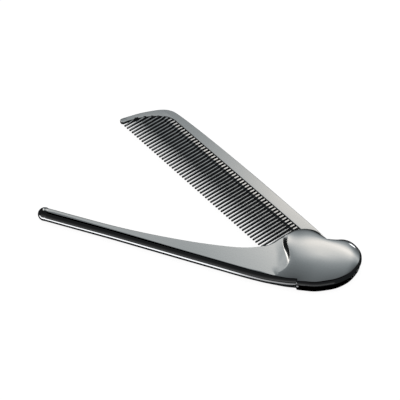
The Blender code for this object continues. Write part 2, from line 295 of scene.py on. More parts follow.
# Stations along the bar in millimetres: x, the round near edge's centre, the far edge, the far
# edge's own radius and how far the near edge's rounding reaches in.
BAR_STATIONS = [
    (-99.8, -16.0, -13.72, 2.28, 2.50), (-97.2, -15.98, -13.70, 2.26, 3.05),
    (-94.0, -15.97, -13.69, 2.24, 3.15), (-88.0, -15.95, -13.68, 2.20, 3.00),
    (-74.0, -15.9, -13.65, 1.80, 2.63), (-60.0, -16.05, -13.0, 1.20, 2.53),
    (-46.0, -16.2, -11.6, 0.70, 2.42), (-35.0, -16.3, -9.75, 0.50, 2.40),
    (-28.0, -16.385, -8.0, 0.40, 2.38), (-22.9, -16.39, -5.6, 0.40, 2.34), (-19.6, -16.3, -2.9, 0.40, 2.28),
    (-17.2, -16.2, 0.8, 0.40, 2.28), (-14.0, -15.9, 3.8, 0.40, 2.28), (-9.0, -15.3, 4.0, 0.40, 2.28),
    (-5.0, -14.3, 2.0, 0.40, 2.28),
]
BAR_START = math.radians(14.0)
BAR_FAR_START = math.radians(26.0)
BAR_RADIUS = 2.28

# The heart's outline in plan, in millimetres, starting at the notch.
HEART_OUTLINE = [
    (-2.0, 5.6), (-4.7, 8.2), (-8.6, 9.1), (-14.7, 5.9), (-16.2, 0.2), (-13.6, -6.0), (-10.0, -12.4),
    (-8.2, -16.8), (-2.0, -16.9), (4.1, -14.4), (9.15, -10.2), (11.92, -4.6), (12.08, 1.6),
    (8.9, 6.6), (3.4, 8.5),
]
HEART_RESOLUTION = 16
CROWN_PLACE = np.array((-1.6, -3.2))
TURNING_PLACE = np.array((-3.0, -8.0))
CROWN_TOP = 5.98
EDGE_INSET = 1.5
EDGE_START = math.radians(8.0)
BACK_START = math.radians(18.0)
UNDER_RADIUS = 2.28
LOWER_PLATE_INSET = 0.3

# Where the dome stops on its left, in millimetres: x, y, the dome's height there, and the
# height and width of the steep flank below it and how hollow the flank is.
DOME_EDGE = [
    (-15.35, 2.30, 5.46, 0.72, 1.8, 1.0), (-15.05, 0.80, 5.52, 0.75, 1.7, 1.0),
    (-14.67, -0.80, 5.56, 0.76, 1.6, 1.0), (-14.00, -2.35, 5.57, 0.72, 1.6, 1.05),
    (-13.12, -3.80, 5.55, 0.60, 1.7, 1.25), (-12.19, -5.59, 5.50, 0.42, 1.6, 1.5),
    (-11.45, -7.53, 5.42, 0.22, 1.2, 1.6), (-11.00, -9.73, 5.28, 0.05, 0.8, 1.6),
    (-11.18, -11.81, 5.12, 0.0, 0.6, 1.6), (-11.80, -13.45, 4.95, 0.0, 0.6, 1.6),
    (-12.75, -14.85, 4.78, 0.0, 0.6, 1.6), (-13.90, -16.00, 4.64, 0.0, 0.6, 1.6),
]

# The dome's height along the rest of its rim: degrees round the crown, height in millimetres.
RIM_HEIGHTS = [
    (227, 4.64), (245, 4.76), (265, 4.86), (300, 4.96), (335, 4.96), (365, 4.85), (400, 4.35),
    (430, 4.38), (444, 4.05), (455, 3.60), (466, 4.0), (480, 4.30), (500, 4.55), (510, 5.05), (517, 5.40),
]


def between(rows, steps):
    """Rows of a table with smooth rows added between them (Catmull-Rom)."""
    result = []
    for i in range(len(rows) - 1):
        before = rows[max(i - 1, 0)]
        after = rows[min(i + 2, len(rows) - 1)]
        for k in range(steps):
            t = k / steps
            result.append(tuple(
                0.5 * (2 * b + (c - a) * t + (2 * a - 5 * b + 4 * c - d) * t * t
                       + (3 * b - a - 3 * c + d) * t ** 3)
                for a, b, c, d in zip(before, rows[i], rows[i + 1], after)))
    result.append(rows[-1])
    return result


def spread_evenly(line, count):
    """The same line with its points spread evenly along it."""
    line = np.asarray(line, float)
    steps = np.hypot(*(line[1:, :2] - line[:-1, :2]).T)
    along = np.concatenate(([0.0], np.cumsum(steps)))
    wanted = np.linspace(0.0, along[-1], count)
    return np.column_stack([np.interp(wanted, along, line[:, k]) for k in range(line.shape[1])])


def heart_line():
    """The heart's outline as a fine closed line, in millimetres."""
    curve = bpy.data.curves.new("heart_line", "CURVE")
    curve.dimensions = "2D"
    curve.fill_mode = "NONE"
    curve.resolution_u = HEART_RESOLUTION
    spline = curve.splines.new("BEZIER")
    spline.bezier_points.add(len(HEART_OUTLINE) - 1)
    for point, (x, y) in zip(spline.bezier_points, HEART_OUTLINE):
        point.co = (x, y, 0.0)
        point.handle_left_type = "AUTO"
        point.handle_right_type = "AUTO"
    spline.bezier_points[0].handle_left_type = "VECTOR"
    spline.bezier_points[0].handle_right_type = "VECTOR"
    spline.use_cyclic_u = True
    guide = bpy.data.objects.new("heart_line", curve)
    bpy.context.scene.collection.objects.link(guide)
    evaluated = guide.evaluated_get(bpy.context.evaluated_depsgraph_get())
    mesh = bpy.data.meshes.new_from_object(evaluated)
    line = np.array([vertex.co[:2] for vertex in mesh.vertices])
    bpy.data.objects.remove(guide)
    bpy.data.meshes.remove(mesh)
    return line


def outward_of(line, side):
    """The direction square to a line at each point, to its left (1) or its right (-1)."""
    along = np.gradient(line, axis=0)
    along /= np.hypot(*along.T)[:, None]
    return np.column_stack((-along[:, 1], along[:, 0])) * side


def nearest(line, axis, value, allowed):
    """Which of a line's allowed points comes nearest a value on one axis."""
    return int(np.argmin(np.where(allowed, np.abs(line[:, axis] - value), np.inf)))


# The two long sides of the handle: the near side runs from the ball along the bar and round
# the heart's right lobe to the notch, the far side along the plate and over the left lobe.
# Each passes from the bar's line to the heart's outline at a join, with a little room before it.
BAR_FINENESS = 24
BAR_STEP = 2
TURN_RIBS = 110
HEART_RIBS = 150
NEAR_JOIN_X = -5.6
NEAR_JOIN_TOP_Y = -10
NEAR_JOIN_ROOM = 0.4
FAR_JOIN_Y = 2.0
FAR_JOIN_RIGHT_X = -10
FAR_TURN_END_X = -16.6
FAR_TURN_END_Y = 1.4
heart_points = heart_line()
fine_bar = np.array(between(BAR_STATIONS, BAR_FINENESS))
bar_part = fine_bar[fine_bar[:, 0] <= BAR_END_X][::BAR_STEP]
turn_part = fine_bar[fine_bar[:, 0] > BAR_END_X]
near_join = nearest(heart_points, 0, NEAR_JOIN_X, heart_points[:, 1] <= NEAR_JOIN_TOP_Y)
left_lobe = heart_points[: len(heart_points) // 3][::-1]
left_lobe = left_lobe[nearest(left_lobe, 1, FAR_JOIN_Y, left_lobe[:, 0] <= FAR_JOIN_RIGHT_X):]
near_turn = turn_part[:, :2] - (0.0, BAR_RADIUS)
near_turn = near_turn[near_turn[:, 0] < heart_points[near_join, 0] - NEAR_JOIN_ROOM]
near_heart = np.vstack((heart_points[near_join:], heart_points[:1]))
far_turn = turn_part[:, [0, 2]]
far_turn = far_turn[(far_turn[:, 1] < FAR_TURN_END_Y) & (far_turn[:, 0] < FAR_TURN_END_X)]
near_side = np.vstack((bar_part[:, :2] - (0.0, BAR_RADIUS),
                       spread_evenly(np.vstack((near_turn, near_heart[:1])), TURN_RIBS)[:-1],
                       spread_evenly(near_heart, HEART_RIBS)))
far_side = np.vstack((bar_part[:, [0, 2]],
                      spread_evenly(np.vstack((far_turn, left_lobe[:1])), TURN_RIBS)[:-1],
                      spread_evenly(left_lobe, HEART_RIBS)))
rib_count = len(near_side)
ribs = np.arange(rib_count)
turn_start = len(bar_part)
heart_start = turn_start + TURN_RIBS - 1

# Where the rounded edges change from the bar's to the heart's, in ribs or in millimetres.
SQUARE_RIBS = (2, 30)
NOTCH_RIBS = 14
CORNER_RIBS = 7
NEAR_HEART_X = (-19.0, -8.0)
LOBE_RIBS = (-3, 9)
FAR_RADIUS = 0.4


def ease(low, high, values):
    """0 below low, 1 above high, smooth between."""
    t = np.clip((np.asarray(values, float) - low) / (high - low), 0.0, 1.0)
    return t * t * (3 - 2 * t)


def edge_directions(side, turned):
    """Outward directions along a long side: straight across the bar, and even round corners."""
    square = outward_of(side, turned)
    padded = np.pad(square, ((CORNER_RIBS, CORNER_RIBS), (0, 0)), mode="edge")
    window = np.ones(2 * CORNER_RIBS + 1) / (2 * CORNER_RIBS + 1)
    square = np.column_stack([np.convolve(padded[:, k], window, mode="valid") for k in range(2)])
    across = ease(turn_start + SQUARE_RIBS[0], turn_start + SQUARE_RIBS[1], ribs)[:, None]
    square = np.array((0.0, float(turned))) * (1 - across) + square * across
    at_notch = ease(rib_count - NOTCH_RIBS, rib_count - 1, ribs)[:, None]
    square = square * (1 - at_notch) + np.array((0.0, 1.0)) * at_notch
    return square / np.hypot(*square.T)[:, None]


near_out = edge_directions(near_side, -1)
far_out = edge_directions(far_side, 1)
near_is_heart = ease(*NEAR_HEART_X, near_side[:, 0])
near_is_heart[heart_start:] = 1.0
far_is_lobe = ease(heart_start + LOBE_RIBS[0], heart_start + LOBE_RIBS[1], ribs)
far_radius = np.full(rib_count, FAR_RADIUS)
far_radius[:turn_start] = bar_part[:, 3]
bar_reach = np.full(rib_count, BAR_RADIUS)
bar_reach[:turn_start] = bar_part[:, 4]
near_reach = bar_reach * (1 - near_is_heart) + EDGE_INSET * near_is_heart
near_start = (BAR_START * (1 - near_is_heart)
              + (EDGE_START + BACK_START * np.clip(near_out[:, 1], 0, 1)) * near_is_heart)
far_reach = far_radius * (1 - far_is_lobe) + EDGE_INSET * far_is_lobe
far_start = (BAR_FAR_START * (1 - far_is_lobe)
             + (EDGE_START + BACK_START * np.clip(far_out[:, 1], 0, 1)) * far_is_lobe)
near_top = near_side - near_out * (near_reach * (1 - np.sin(near_start)))[:, None]
far_top = far_side - far_out * (far_reach * (1 - np.sin(far_start)))[:, None]

# Each section bends twice on its way over the top, and both bends follow the dome's edge
# from where its middle meets the dome. The sizes are in millimetres, or counted in ribs.
EDGE_FINENESS = 12
EDGE_MEETS_MIDDLE_Y = -8.2
EDGE_SPLIT = 1.2
MEETING_RIBS = 10
FIRST_EDGE_RIB = 28
TAIL_RIB = 52
CROWN_RIBS = (6, 40)
LOBE_END_RIB = 3
LEAVING_RIBS = 20
OUTER_COLUMNS = 26
INNER_COLUMNS = 22
dome_edge = np.array(between(DOME_EDGE, EDGE_FINENESS))
edge_steps = np.hypot(*(dome_edge[1:, :2] - dome_edge[:-1, :2]).T)
edge_along = np.concatenate(([0.0], np.cumsum(edge_steps)))
edge_meet = np.interp(-EDGE_MEETS_MIDDLE_Y, -dome_edge[:, 1], edge_along)


def edge_place(along):
    """Places in plan on the dome's left edge, by the way along it."""
    return np.column_stack([np.interp(along, edge_along, dome_edge[:, i]) for i in range(2)])


first_edge, tail_rib = turn_start + FIRST_EDGE_RIB, turn_start + TAIL_RIB
lobe_end = heart_start + LOBE_END_RIB
meets = ease(turn_start - MEETING_RIBS, first_edge, ribs)[:, None]
to_tail = np.clip((ribs - first_edge) / (tail_rib - first_edge), 0.0, 1.0)
passes = to_tail[:, None]
at_edge = edge_place(np.full(rib_count, edge_meet))
to_crown = ease(heart_start + CROWN_RIBS[0], heart_start + CROWN_RIBS[1], ribs)[:, None]
inner_way = at_edge * (1 - passes) + (TURNING_PLACE * (1 - to_crown) + CROWN_PLACE * to_crown) * passes
middle = (near_top + far_top) / 2 * (1 - meets) + inner_way * meets
outer_share = OUTER_COLUMNS / (OUTER_COLUMNS + INNER_COLUMNS)
even_near = near_top + (middle - near_top) * outer_share
even_far = far_top + (middle - far_top) * outer_share
to_lobe = np.clip((ribs - first_edge) / (lobe_end - first_edge), 0.0, 1.0)
near_edge = edge_place(edge_meet + EDGE_SPLIT + (edge_along[-1] - edge_meet - EDGE_SPLIT) * to_tail)
far_edge = edge_place((edge_meet - EDGE_SPLIT) * (1 - to_lobe))
near_edge[tail_rib:] += near_top[tail_rib:] - near_top[tail_rib]
far_edge[lobe_end:] += far_top[lobe_end:] - far_top[lobe_end]
near_on_edge = (meets[:, 0] * (1 - ease(tail_rib, tail_rib + LEAVING_RIBS, ribs)))[:, None]
far_on_edge = (meets[:, 0] * (1 - ease(lobe_end, lobe_end + LEAVING_RIBS, ribs)))[:, None]
near_bend = even_near * (1 - near_on_edge) + near_edge * near_on_edge
far_bend = even_far * (1 - far_on_edge) + far_edge * far_on_edge

# The dome's rim all round the crown: its left edge from the table, then the near side and
# the lobes where the rounded edge begins.
FIRST_TURN = 158.2
RIM_GAP = 1.5
NEAR_RIM_END = 458.0
FAR_RIM = (451.0, 517.0)
FAR_RIM_RIB = 4
RIM_PLACES = 720
RIM_WAVES = 26
RIM_SOFTNESS = 15.0


def round_crown(places):
    """Distance and turn in degrees of places round the crown."""
    arm = np.asarray(places, float) - CROWN_PLACE
    turn = np.degrees(np.arctan2(arm[..., 1], arm[..., 0]))
    return np.hypot(arm[..., 0], arm[..., 1]), (turn - FIRST_TURN) % 360.0 + FIRST_TURN


edge_reach, edge_turn = round_crown(dome_edge[:, :2])
near_reach_at, near_turn_at = round_crown(near_top[turn_start:])
far_reach_at, far_turn_at = round_crown(far_top[heart_start + FAR_RIM_RIB:][::-1])
keep_near = (near_turn_at > edge_turn[-1] + RIM_GAP) & (near_turn_at < NEAR_RIM_END)
keep_far = (far_turn_at > FAR_RIM[0]) & (far_turn_at < FAR_RIM[1])
rim_turn = np.concatenate((edge_turn, near_turn_at[keep_near], far_turn_at[keep_far]))
rim_reach = np.concatenate((edge_reach, near_reach_at[keep_near], far_reach_at[keep_far]))
rim_height = np.concatenate((
    dome_edge[:, 2], np.interp(rim_turn[len(edge_turn):], *np.array(RIM_HEIGHTS, float).T)))
order = np.argsort(rim_turn, kind="stable")
rim_turn, rim_reach, rim_height = rim_turn[order], rim_reach[order], rim_height[order]


def rim_waves(values):
    """Values along the rim as waves round the crown, each of which fades towards the crown."""
    turns = FIRST_TURN + np.arange(RIM_PLACES) * 360.0 / RIM_PLACES
    waves = np.fft.rfft(np.interp(turns, rim_turn, values, period=360.0))[:RIM_WAVES] / len(turns)
    waves[1:] *= 2 * np.exp(-(np.arange(1, RIM_WAVES) / RIM_SOFTNESS) ** 2)
    return waves[::-1]


reach_waves = rim_waves(rim_reach)
height_waves = rim_waves(rim_height)

# The dome falls from its crown to its rim by a power of the way there, a higher one on the far side.
CROWN_POWER = 2.0
MEAN_POWER = 3.9
POWER_SWING = 2.2
SHARE_ROUNDS = 16
SHARE_LIMIT = 1.08


def dome_height(places):
    """The dome's height at places in plan: level at the crown, and down to its rim all round."""
    reach, turn = round_crown(places)
    swing = np.exp(1j * np.radians(turn - FIRST_TURN))
    share = np.clip(reach / np.interp(turn, rim_turn, rim_reach, period=360.0), 0.0, 1.0)
    for _ in range(SHARE_ROUNDS):
        found = np.clip(reach / np.polyval(reach_waves, share * swing).real, 0.0, SHARE_LIMIT)
        share = (share + found) / 2
    power = CROWN_POWER + (MEAN_POWER + POWER_SWING * np.sin(np.radians(turn)) - CROWN_POWER) * share
    rim = np.polyval(height_waves, share * swing).real
    return CROWN_TOP - (CROWN_TOP - rim) * share ** power


edge_rise = dome_height(dome_edge[:, :2]) - PLATE_TOP
HOLLOW_WIDTH = 4.7
RIM_SLACK = 0.002
DOME_START_X = -18.0
LEVEL_BAR_X = -30


def top_height(places):
    """How high the handle's upper face lies at places in plan, in millimetres."""
    reach, turn = round_crown(places)
    rim = np.interp(turn, rim_turn, rim_reach, period=360.0)
    inside = (reach <= rim + RIM_SLACK) & (places[:, 0] > DOME_START_X)
    gaps = np.hypot(places[:, None, 0] - dome_edge[None, :, 0], places[:, None, 1] - dome_edge[None, :, 1])
    closest = np.argmin(gaps, axis=1)
    gap = gaps[np.arange(len(places)), closest]
    rise, (flank_height, flank_width, flank_power) = edge_rise[closest], dome_edge[closest, 3:].T
    flank_height = np.minimum(flank_height, rise)
    plate = (PLATE_TOP + flank_height * np.clip(1 - gap / flank_width, 0, 1) ** flank_power
             + (rise - flank_height) * np.clip(1 - gap / HOLLOW_WIDTH, 0, 1) ** 2)
    plate[places[:, 0] < LEVEL_BAR_X] = PLATE_TOP
    return np.where(inside, dome_height(places), plate)


LOWER_COLUMNS = 8
CLOSER_COLUMNS = 1.5
ARC_STEPS = 10
INSET_POWER = 4
INSET_HASTE = 4


def rib_points(k):
    """One closed section of the handle, in millimetres, from under the near edge over the top."""
    quarter = np.linspace(0.0, 1.0, ARC_STEPS + 1)
    outer = 1 - (1 - np.linspace(0.0, 1.0, OUTER_COLUMNS + 1)[:, None]) ** CLOSER_COLUMNS
    over = np.vstack((near_top[k] + (near_bend[k] - near_top[k]) * outer[:-1],
                      np.linspace(near_bend[k], middle[k], INNER_COLUMNS, endpoint=False),
                      np.linspace(middle[k], far_bend[k], INNER_COLUMNS, endpoint=False),
                      far_top[k] + (far_bend[k] - far_top[k]) * outer[::-1]))
    heights = top_height(over)
    top = np.column_stack((over, heights))

    def upper_arc(place, out, reach, start, height, centre):
        turn = start + (math.pi / 2 - start) * quarter
        inset = reach * (1 - np.sin(turn))
        level = centre + (height - centre) / math.cos(start) * np.cos(turn)
        return np.column_stack((place - out * inset[:, None], level))

    def lower_arc(place, out, radius, extra):
        turn = math.pi / 2 * (1 - quarter)
        inset = radius * (1 - np.sin(turn)) + extra * np.minimum(1.0, INSET_HASTE * quarter)
        return np.column_stack((place - out * inset[:, None], radius * (1 - np.cos(turn))))

    extra_near = LOWER_PLATE_INSET * max(0.0, near_out[k, 0]) ** INSET_POWER * near_is_heart[k]
    lobe = far_is_lobe[k]
    far_centre = (heights[-1] - far_radius[k]) * (1 - lobe) + MIDDLE_HEIGHT * lobe
    far_under = far_radius[k] * (1 - lobe) + UNDER_RADIUS * lobe
    near_upper = upper_arc(near_side[k], near_out[k], near_reach[k], near_start[k], heights[0],
                           MIDDLE_HEIGHT)[::-1]
    near_lower = lower_arc(near_side[k], near_out[k], UNDER_RADIUS, extra_near)[::-1]
    far_upper = upper_arc(far_side[k], far_out[k], far_reach[k], far_start[k], heights[-1], far_centre)
    far_lower = lower_arc(far_side[k], far_out[k], far_under, 0.0)
    under_middle = (far_lower[-1, :2] + near_lower[0, :2]) / 2 * (1 - meets[k]) + middle[k] * meets[k]
    under = np.vstack((np.linspace(far_lower[-1, :2], under_middle, LOWER_COLUMNS, endpoint=False),
                       np.linspace(under_middle, near_lower[0, :2], LOWER_COLUMNS + 1)))
    under = np.column_stack((under, np.zeros(len(under))))
    return np.vstack((near_lower, near_upper, top[1:-1], far_upper, far_lower, under[1:-1]))


MERGE_GAP = 0.001 * MM


def lofted(name, rings, cap_start=False, cap_end=False):
    """A skin through rings of equally many points, in metres."""
    work = bmesh.new()
    loops = [[work.verts.new(co) for co in ring] for ring in rings]
    for low, high in zip(loops, loops[1:]):
        for i in range(len(low)):
            j = (i + 1) % len(low)
            work.faces.new((low[i], low[j], high[j], high[i]))
    if cap_start:
        work.faces.new(reversed(loops[0]))
    if cap_end:
        work.faces.new(loops[-1])
    bmesh.ops.remove_doubles(work, verts=work.verts, dist=MERGE_GAP)
    bmesh.ops.recalc_face_normals(work, faces=work.faces)
    mesh = bpy.data.meshes.new(name)
    work.to_mesh(mesh)
    work.free()
    return mesh


def add_piece(name, mesh, finish):
    """A mesh as a piece of the comb, in its finish."""
    mesh.materials.clear()
    mesh.materials.append(finish)
    piece = bpy.data.objects.new(name, mesh)
    bpy.context.scene.collection.objects.link(piece)
    return piece


def box_mesh(name, low, high):
    """A plain block between two corners in millimetres."""
    work = bmesh.new()
    bmesh.ops.create_cube(work, size=1.0)
    for vertex in work.verts:
        vertex.co = [(a + b) / 2 * MM + c * (b - a) * MM for a, b, c in zip(low, high, vertex.co)]
    mesh = bpy.data.meshes.new(name)
    work.to_mesh(mesh)
    work.free()
    return mesh


def round_mesh(name, radius, low, high, sides):
    """An upright cylinder on the pin's axis, from sizes in millimetres."""
    work = bmesh.new()
    bmesh.ops.create_cone(work, cap_ends=True, segments=sides, radius1=radius * MM,
                          radius2=radius * MM, depth=(high - low) * MM)
    bmesh.ops.translate(work, verts=work.verts, vec=(0.0, 0.0, (low + high) / 2 * MM))
    mesh = bpy.data.meshes.new(name)
    work.to_mesh(mesh)
    work.free()
    return mesh


LEVEL_FACES_WEIGHT = 80


def worked(piece, steps, degrees):
    """Joins shapes to a piece and cuts shapes from it, then shades it by its real edges."""
    helpers = []
    for operation, mesh in steps:
        helper = bpy.data.objects.new(mesh.name, mesh)
        bpy.context.scene.collection.objects.link(helper)
        step = piece.modifiers.new(mesh.name, "BOOLEAN")
        step.operation = operation
        step.solver = "EXACT"
        step.object = helper
        helpers.append(helper)
    evaluated = piece.evaluated_get(bpy.context.evaluated_depsgraph_get())
    mesh = bpy.data.meshes.new_from_object(evaluated)
    mesh.shade_smooth()
    mesh.set_sharp_from_angle(angle=math.radians(degrees))
    piece.modifiers.clear()
    piece.data = mesh
    weigh = piece.modifiers.new("level_faces", "WEIGHTED_NORMAL")
    weigh.keep_sharp = True
    weigh.weight = LEVEL_FACES_WEIGHT
    evaluated = piece.evaluated_get(bpy.context.evaluated_depsgraph_get())
    finished = bpy.data.meshes.new_from_object(evaluated)
    piece.modifiers.clear()
    piece.data = finished
    for helper in helpers:
        bpy.data.objects.remove(helper)
    return piece


BALL_SEGMENTS = 48
HOLE_SIDES = 48
HANDLE_SHARP = 32
handle_skin = lofted("handle_skin", [rib_points(k) * MM for k in range(rib_count)], cap_start=True)
ball_work = bmesh.new()
bmesh.ops.create_uvsphere(ball_work, u_segments=BALL_SEGMENTS, v_segments=BALL_SEGMENTS // 2,
                          radius=BALL_RADIUS)
bmesh.ops.translate(ball_work, verts=ball_work.verts, vec=BALL_PLACE)
ball_mesh = bpy.data.meshes.new("ball")
ball_work.to_mesh(ball_mesh)
ball_work.free()

REACH = 60.0
PIN_RADIUS = 1.5
PIN_ROOM = 0.3
PIN_LOW = 0.75
PIN_HIGH = 4.5
slot_mouth = lofted("slot_mouth", [
    [(x * MM, y * MM, z * MM) for x, z in ((WALL_END_BOTTOM_X, SLOT_LOW), (REACH, SLOT_LOW),
                                           (REACH, SLOT_HIGH), (WALL_END_TOP_X, SLOT_HIGH))]
    for y in (-REACH, SLOT_WALL_Y + PIN_RADIUS)], cap_start=True, cap_end=True)


# Dark chrome on the handle: a mirror that is faintly clouded by polishing, with hair-fine
# marks along the bar and a brighter rub on the edges.
CLOUD_SCALE = 140.0
CLOUD_DETAIL = 3.0
FINE_DETAIL = 2.0
MARK_HEIGHT = 0.01 * MM
EDGE_GAIN = 6.0
EDGE_SAMPLES = 4
SPECKLE_SCALE = 900.0


def socket(tree, name, kind, side, default=None):
    """One named socket of a node group, on its INPUT or OUTPUT side."""
    made = tree.interface.new_socket(name=name, in_out=side, socket_type=kind)
    if default is not None:
        made.default_value = default
    return made


def polish_group():
    """How polishing leaves the metal: soft clouds in its gloss and hair-fine marks."""
    tree = bpy.data.node_groups.new("polish", "ShaderNodeTree")
    socket(tree, "Gloss", "NodeSocketFloat", "INPUT", 0.1)
    socket(tree, "Clouds", "NodeSocketFloat", "INPUT", 0.03)
    socket(tree, "Mark Direction", "NodeSocketVector", "INPUT")
    socket(tree, "Mark Depth", "NodeSocketFloat", "INPUT", 0.02)
    socket(tree, "Roughness", "NodeSocketFloat", "OUTPUT")
    socket(tree, "Normal", "NodeSocketVector", "OUTPUT")
    given = tree.nodes.new("NodeGroupInput")
    made = tree.nodes.new("NodeGroupOutput")
    place = tree.nodes.new("ShaderNodeTexCoord")
    clouds = tree.nodes.new("ShaderNodeTexNoise")
    clouds.inputs["Scale"].default_value = CLOUD_SCALE
    clouds.inputs["Detail"].default_value = CLOUD_DETAIL
    tree.links.new(place.outputs["Object"], clouds.inputs["Vector"])
    drawn = tree.nodes.new("ShaderNodeMapping")
    tree.links.new(place.outputs["Object"], drawn.inputs["Vector"])
    tree.links.new(given.outputs["Mark Direction"], drawn.inputs["Scale"])
    marks = tree.nodes.new("ShaderNodeTexNoise")
    marks.inputs["Scale"].default_value = 1.0
    marks.inputs["Detail"].default_value = FINE_DETAIL
    tree.links.new(drawn.outputs["Vector"], marks.inputs["Vector"])
    offset = math_node(tree, "SUBTRACT", clouds.outputs["Fac"], 0.5)
    roughness = math_node(tree, "MULTIPLY_ADD", offset, given.outputs["Clouds"], given.outputs["Gloss"])
    bump = tree.nodes.new("ShaderNodeBump")
    bump.inputs["Distance"].default_value = MARK_HEIGHT
    tree.links.new(given.outputs["Mark Depth"], bump.inputs["Strength"])
    tree.links.new(marks.outputs["Fac"], bump.inputs["Height"])
    tree.links.new(roughness, made.inputs["Roughness"])
    tree.links.new(bump.outputs["Normal"], made.inputs["Normal"])
    return tree


def rubbed_edge_group():
    """Where hands rub the metal brighter: a mask of its edges, broken up by a fine noise."""
    tree = bpy.data.node_groups.new("rubbed_edge", "ShaderNodeTree")
    socket(tree, "Width", "NodeSocketFloat", "INPUT", 0.2 * MM)
    socket(tree, "Mask", "NodeSocketFloat", "OUTPUT")
    given = tree.nodes.new("NodeGroupInput")
    made = tree.nodes.new("NodeGroupOutput")
    rounded = tree.nodes.new("ShaderNodeBevel")
    rounded.samples = EDGE_SAMPLES
    tree.links.new(given.outputs["Width"], rounded.inputs["Radius"])
    facing = tree.nodes.new("ShaderNodeNewGeometry")
    alike = tree.nodes.new("ShaderNodeVectorMath")
    alike.operation = "DOT_PRODUCT"
    tree.links.new(rounded.outputs["Normal"], alike.inputs[0])
    tree.links.new(facing.outputs["Normal"], alike.inputs[1])
    edge = math_node(tree, "SUBTRACT", 1.0, alike.outputs["Value"])
    edge = math_node(tree, "MULTIPLY", edge, EDGE_GAIN)
    place = tree.nodes.new("ShaderNodeTexCoord")
    speckle = tree.nodes.new("ShaderNodeTexNoise")
    speckle.inputs["Scale"].default_value = SPECKLE_SCALE
    speckle.inputs["Detail"].default_value = FINE_DETAIL
    tree.links.new(place.outputs["Object"], speckle.inputs["Vector"])
    broken = math_node(tree, "MULTIPLY", edge, speckle.outputs["Fac"])
    clamp = tree.nodes.new("ShaderNodeClamp")
    tree.links.new(broken, clamp.inputs["Value"])
    tree.links.new(clamp.outputs["Result"], made.inputs["Mask"])
    return tree


POLISH = polish_group()
RUBBED_EDGE = rubbed_edge_group()


def metal(name, colour, rubbed, gloss, clouds, mark_direction, mark_depth, edge_width):
    """A polished metal finish with its own colour, gloss and marks."""
    finish = bpy.data.materials.new(name)
    finish.use_nodes = True
    tree = finish.node_tree
    shader = tree.nodes["Principled BSDF"]
    shader.inputs["Metallic"].default_value = 1.0
    polish = tree.nodes.new("ShaderNodeGroup")
    polish.node_tree = POLISH
    polish.inputs["Gloss"].default_value = gloss
    polish.inputs["Clouds"].default_value = clouds
    polish.inputs["Mark Direction"].default_value = mark_direction
    polish.inputs["Mark Depth"].default_value = mark_depth
    edge = tree.nodes.new("ShaderNodeGroup")
    edge.node_tree = RUBBED_EDGE
    edge.inputs["Width"].default_value = edge_width * MM
    tint = tree.nodes.new("ShaderNodeMix")
    tint.data_type = "RGBA"
    tint.inputs["A"].default_value = (*colour, 1.0)
    tint.inputs["B"].default_value = (*rubbed, 1.0)
    tree.links.new(edge.outputs["Mask"], tint.inputs["Factor"])
    tree.links.new(tint.outputs["Result"], shader.inputs["Base Color"])
    tree.links.new(polish.outputs["Roughness"], shader.inputs["Roughness"])
    tree.links.new(polish.outputs["Normal"], shader.inputs["Normal"])
    return finish


dark_chrome = metal("dark_chrome", colour=(0.50, 0.51, 0.52), rubbed=(0.62, 0.62, 0.62), gloss=0.10,
                    clouds=0.05, mark_direction=(60.0, 2400.0, 600.0), mark_depth=0.25, edge_width=0.2)
handle = add_piece("comb_handle", handle_skin, dark_chrome)
worked(handle, [
    ("UNION", ball_mesh),
    ("DIFFERENCE", box_mesh("slot", (SLOT_START_X, SLOT_WALL_Y, SLOT_LOW), (REACH, REACH, SLOT_HIGH))),
    ("DIFFERENCE", slot_mouth),
    ("DIFFERENCE", round_mesh("pin_hole", PIN_RADIUS + PIN_ROOM, PIN_LOW - PIN_ROOM,
                              PIN_HIGH + PIN_ROOM, HOLE_SIDES)),
], HANDLE_SHARP)
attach(handle, "handle")
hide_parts("handle")


# Blade
# Spine and teeth are one stamping in steel, ground and dark chromed. Each tooth starts as a
# flat bar at the spine, is ground round below it, and tapers to a blunt tip.
FOLD_ANGLE = math.radians(-30.16)
BLADE_THICKNESS = 2.2
SPINE_EDGE = 0.22
TIP_LINE_Y = -15.1
SPINE_INNER_Y = 0.4
EYE_RADIUS = 4.1
BORE_RADIUS = 1.8
EYE_START = 85
EYE_STEPS = 48
NOSE_FINENESS = 8
TRIM_FINENESS = 4
SPINE_EDGE_STEPS = 2
SPINE_MERGE_GAP = 0.01 * MM
SPINE_SHARP = 40
TOOTH_SHARP = 15
NOSE_OUTER = [
    (-96.9, -15.1), (-98.0, -14.8), (-98.3, -13.7), (-97.5, -11.0), (-96.1, -7.0), (-94.1, -2.9),
    (-92.2, 0.2), (-89.9, 2.28), (-86.0, 3.33), (-72.0, 4.2), (-48.0, 4.8), (-25.0, 4.85),
    (-12.0, 4.8), (-5.0, 4.4),
]
NOSE_INNER = [
    (-82.0, 0.4), (-85.6, 0.25), (-88.2, -0.9), (-90.6, -3.2), (-92.8, -6.2), (-94.7, -9.6),
    (-95.9, -13.0), (-96.2, -14.6),
]
TOOTH_PITCH = 1.45
TOOTH_COUNT = 58
FIRST_TOOTH_X = -94.91
TOOTH_BED = 0.5

# Sections of a tooth from its tip up: place along it in millimetres, width, thickness, how
# much of the width is flat on top, and how far the flat leans over.
TOOTH_SECTIONS = [
    (-15.1, 0.48, 0.56, 0.4, 0.0), (-14.8, 0.56, 0.80, 0.3, 0.0), (-12.0, 0.56, 1.02, 0.35, 0.0),
    (-7.5, 0.56, 1.44, 0.35, 0.0), (-2.4, 0.56, 1.52, 0.35, 0.0), (-1.5, 0.54, 2.18, 0.88, 0.126),
    (0.9, 0.54, 1.64, 0.90, 0.126),
]
NOSE_START_X = -84.0
NOSE_TOP_Y = 2.0
NOSE_DEPTH = 16.0
NOSE_THINNING = 0.52

